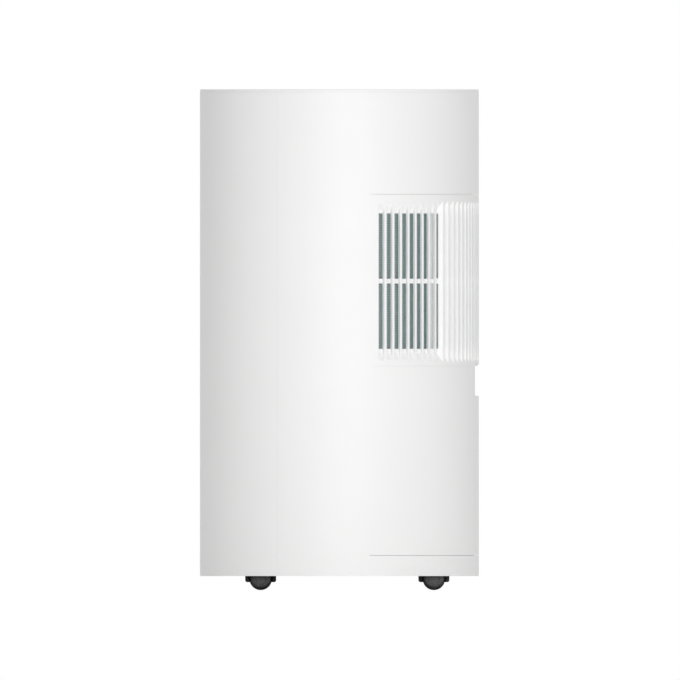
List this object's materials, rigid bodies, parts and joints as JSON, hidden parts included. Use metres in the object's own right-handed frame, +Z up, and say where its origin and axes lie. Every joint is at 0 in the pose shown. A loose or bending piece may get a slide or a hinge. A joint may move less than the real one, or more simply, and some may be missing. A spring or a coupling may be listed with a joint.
{
  "type": "portable air conditioner",
  "caption": "Round-cabinet portable air conditioner with a ribbed rear intake grille, top outlet flap, rear exhaust port and swivel casters.",
  "frame": {"origin": "centre of the base, on the floor under the casters", "axes": "+Z up, -Y towards the plain front, +Y towards the intake grille and the hand grip at the rear, +X towards the side that has no exhaust port"},
  "size_m": [0.396, 0.396, 0.711],
  "materials": {
    "cabinet_plastic": "satin moulded ABS",
    "vane_plastic": "satin moulded ABS",
    "filter_screen": "woven screen",
    "inner_plastic": "moulded polypropylene",
    "panel_gloss": "polished",
    "lens": "polished",
    "button_plastic": "satin",
    "board": "solder mask",
    "zinc_steel": "zinc plated",
    "motor_steel": "satin",
    "fin_aluminium": "mill finish",
    "copper": "drawn copper",
    "compressor_enamel": "satin enamel",
    "black_rubber": "matt",
    "caster_plastic": "satin nylon",
    "caster_wheel": "moulded nylon"
  },
  "bodies": {
    "cabinet": {"front_panel": "cabinet_plastic", "side_panel_right": "cabinet_plastic", "side_panel_left": "cabinet_plastic", "rear_upper_panel": "cabinet_plastic", "rear_lower_panel": "cabinet_plastic", "filter_housing": "vane_plastic", "base_pan": "cabinet_plastic", "mid_deck": "inner_plastic", "top_cover": "cabinet_plastic", "control_panel": "panel_gloss", "display_lens": "lens", "key_board": "board", "flap_motor": "zinc_steel", "vane_frame": "vane_plastic", "evaporator_fins": "fin_aluminium", "evaporator_tubes": "copper", "evaporator_scroll": "inner_plastic", "evaporator_motor": "motor_steel", "condenser_fins": "fin_aluminium", "condenser_tubes": "copper", "condenser_scroll": "inner_plastic", "condenser_motor": "motor_steel", "exhaust_duct": "inner_plastic", "exhaust_collar": "vane_plastic", "compressor": "compressor_enamel", "compressor_mounts": "black_rubber", "accumulator": "compressor_enamel", "refrigerant_lines": "copper", "control_box": "zinc_steel", "circuit_board": "board", "cord_gland": "black_rubber", "housing_screws": "zinc_steel"},
    "grille": {"intake_grille": "cabinet_plastic"},
    "filter": {"filter_frame": "vane_plastic", "filter_mesh": "filter_screen"},
    "flap": {"outlet_flap": "cabinet_plastic"},
    "vane_1": {"vane_1": "vane_plastic"},
    "vane_2": {"vane_2": "vane_plastic"},
    "vane_3": {"vane_3": "vane_plastic"},
    "vane_4": {"vane_4": "vane_plastic"},
    "vane_5": {"vane_5": "vane_plastic"},
    "link": {"vane_link": "vane_plastic"},
    "button_power": {"button_power": "button_plastic"},
    "button_mode": {"button_mode": "button_plastic"},
    "button_down": {"button_down": "button_plastic"},
    "button_up": {"button_up": "button_plastic"},
    "button_fan": {"button_fan": "button_plastic"},
    "evaporator_fan": {"evaporator_wheel": "inner_plastic", "evaporator_shaft": "zinc_steel"},
    "condenser_fan": {"condenser_wheel": "inner_plastic", "condenser_shaft": "zinc_steel"},
    "plug": {"drain_plug": "black_rubber"},
    "caster_fr": {"caster_hood_fr": "caster_plastic"},
    "wheel_fr": {"caster_wheel_fr": "caster_wheel"},
    "caster_fl": {"caster_hood_fl": "caster_plastic"},
    "wheel_fl": {"caster_wheel_fl": "caster_wheel"},
    "caster_rr": {"caster_hood_rr": "caster_plastic"},
    "wheel_rr": {"caster_wheel_rr": "caster_wheel"},
    "caster_rl": {"caster_hood_rl": "caster_plastic"},
    "wheel_rl": {"caster_wheel_rl": "caster_wheel"}
  },
  "joints": [
    {"name": "grille_pull", "type": "slide", "parent": "cabinet", "child": "grille", "axis": [0, 1, 0], "range_m": [0, 0.16]},
    {"name": "filter_pull", "type": "slide", "parent": "cabinet", "child": "filter", "axis": [0, 1, 0], "range_m": [0, 0.08]},
    {"name": "flap_hinge", "type": "hinge", "parent": "cabinet", "child": "flap", "pos_m": [0, 0.0742, 0.705], "axis": [-1, 0, 0], "range_deg": [0, 80]},
    {"name": "vane_1_turn", "type": "hinge", "parent": "cabinet", "child": "vane_1", "pos_m": [-0.084, 0.032, 0.673], "axis": [0, -1, 0], "range_deg": [-30, 30]},
    {"name": "vane_2_turn", "type": "hinge", "parent": "cabinet", "child": "vane_2", "pos_m": [-0.042, 0.032, 0.673], "axis": [0, -1, 0], "range_deg": [-30, 30]},
    {"name": "vane_3_turn", "type": "hinge", "parent": "cabinet", "child": "vane_3", "pos_m": [0, 0.032, 0.673], "axis": [0, -1, 0], "range_deg": [-30, 30]},
    {"name": "vane_4_turn", "type": "hinge", "parent": "cabinet", "child": "vane_4", "pos_m": [0.042, 0.032, 0.673], "axis": [0, -1, 0], "range_deg": [-30, 30]},
    {"name": "vane_5_turn", "type": "hinge", "parent": "cabinet", "child": "vane_5", "pos_m": [0.084, 0.032, 0.673], "axis": [0, -1, 0], "range_deg": [-30, 30]},
    {"name": "link_shift", "type": "slide", "parent": "cabinet", "child": "link", "axis": [1, 0, 0], "range_m": [-0.00628, 0.00628]},
    {"name": "button_power_press", "type": "slide", "parent": "cabinet", "child": "button_power", "axis": [0, 0, -1], "range_m": [0, 0.0008], "stiffness_N_per_m": 300, "springref_m": -0.0004},
    {"name": "button_mode_press", "type": "slide", "parent": "cabinet", "child": "button_mode", "axis": [0, 0, -1], "range_m": [0, 0.0008], "stiffness_N_per_m": 300, "springref_m": -0.0004},
    {"name": "button_down_press", "type": "slide", "parent": "cabinet", "child": "button_down", "axis": [0, 0, -1], "range_m": [0, 0.0008], "stiffness_N_per_m": 300, "springref_m": -0.0004},
    {"name": "button_up_press", "type": "slide", "parent": "cabinet", "child": "button_up", "axis": [0, 0, -1], "range_m": [0, 0.0008], "stiffness_N_per_m": 300, "springref_m": -0.0004},
    {"name": "button_fan_press", "type": "slide", "parent": "cabinet", "child": "button_fan", "axis": [0, 0, -1], "range_m": [0, 0.0008], "stiffness_N_per_m": 300, "springref_m": -0.0004},
    {"name": "evaporator_fan_spin", "type": "hinge", "parent": "cabinet", "child": "evaporator_fan", "pos_m": [0, 0.032, 0.453], "axis": [0, 1, 0], "continuous": true},
    {"name": "condenser_fan_spin", "type": "hinge", "parent": "cabinet", "child": "condenser_fan", "pos_m": [-0.06, -0.01, 0.172], "axis": [1, 0, 0], "continuous": true},
    {"name": "drain_plug_pull", "type": "slide", "parent": "cabinet", "child": "plug", "axis": [-0.8746, 0.4848, 0], "range_m": [0, 0.05]},
    {"name": "caster_fr_swivel", "type": "hinge", "parent": "cabinet", "child": "caster_fr", "pos_m": [0.08609, -0.12295, 0.045], "axis": [0, 0, 1], "continuous": true},
    {"name": "wheel_fr_roll", "type": "hinge", "parent": "caster_fr", "child": "wheel_fr", "pos_m": [0.08609, -0.11175, 0.016], "axis": [1, 0, 0], "continuous": true},
    {"name": "caster_fl_swivel", "type": "hinge", "parent": "cabinet", "child": "caster_fl", "pos_m": [-0.08609, -0.12295, 0.045], "axis": [0, 0, 1], "continuous": true},
    {"name": "wheel_fl_roll", "type": "hinge", "parent": "caster_fl", "child": "wheel_fl", "pos_m": [-0.08609, -0.11175, 0.016], "axis": [1, 0, 0], "continuous": true},
    {"name": "caster_rr_swivel", "type": "hinge", "parent": "cabinet", "child": "caster_rr", "pos_m": [0.08609, 0.12295, 0.045], "axis": [0, 0, 1], "continuous": true},
    {"name": "wheel_rr_roll", "type": "hinge", "parent": "caster_rr", "child": "wheel_rr", "pos_m": [0.08609, 0.13415, 0.016], "axis": [1, 0, 0], "continuous": true},
    {"name": "caster_rl_swivel", "type": "hinge", "parent": "cabinet", "child": "caster_rl", "pos_m": [-0.08609, 0.12295, 0.045], "axis": [0, 0, 1], "continuous": true},
    {"name": "wheel_rl_roll", "type": "hinge", "parent": "caster_rl", "child": "wheel_rl", "pos_m": [-0.08609, 0.13415, 0.016], "axis": [1, 0, 0], "continuous": true}
  ],
  "couplings": [
    {"joint": "filter_pull", "follows": "grille_pull", "ratio": 0.5},
    {"joint": "vane_1_turn", "follows": "link_shift", "rad_per_m": 83.333},
    {"joint": "vane_2_turn", "follows": "link_shift", "rad_per_m": 83.333},
    {"joint": "vane_3_turn", "follows": "link_shift", "rad_per_m": 83.333},
    {"joint": "vane_4_turn", "follows": "link_shift", "rad_per_m": 83.333},
    {"joint": "vane_5_turn", "follows": "link_shift", "rad_per_m": 83.333}
  ]
}
